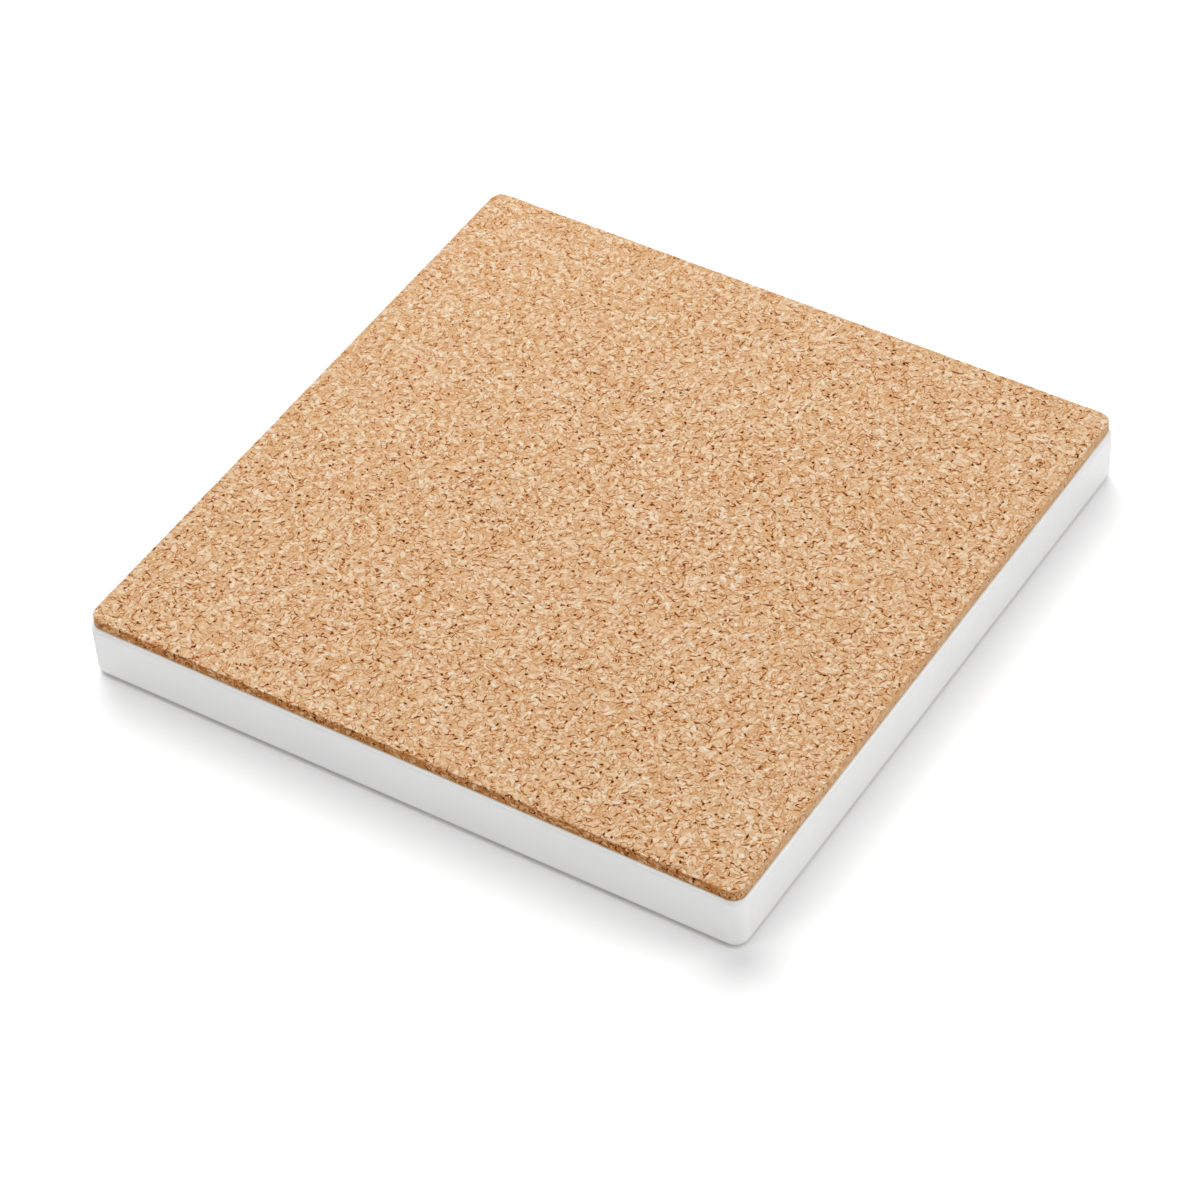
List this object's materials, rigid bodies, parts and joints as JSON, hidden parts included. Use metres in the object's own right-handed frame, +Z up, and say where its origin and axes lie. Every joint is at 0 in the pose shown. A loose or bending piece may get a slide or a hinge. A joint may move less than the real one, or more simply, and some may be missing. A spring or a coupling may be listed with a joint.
{
  "type": "drink coaster",
  "caption": "Square white glazed ceramic tile coaster with rounded edges and a thin agglomerated cork pad stuck over its back, lying face down.",
  "frame": {"origin": "centre of the glazed face, which the coaster lies on in the picture", "axes": "+Z up through the tile to the cork, X and Y along the tile's sides"},
  "size_m": [0.1, 0.1, 0.0103],
  "materials": {
    "bisque": "matt fired clay",
    "glaze": "white gloss glaze",
    "adhesive": "dried clear glue film",
    "cork": "sanded agglomerated cork"
  },
  "bodies": {
    "root": {"tile_core": "bisque", "glaze_coat": "glaze", "adhesive_film": "adhesive", "cork_pad": "cork"}
  },
  "joints": []
}
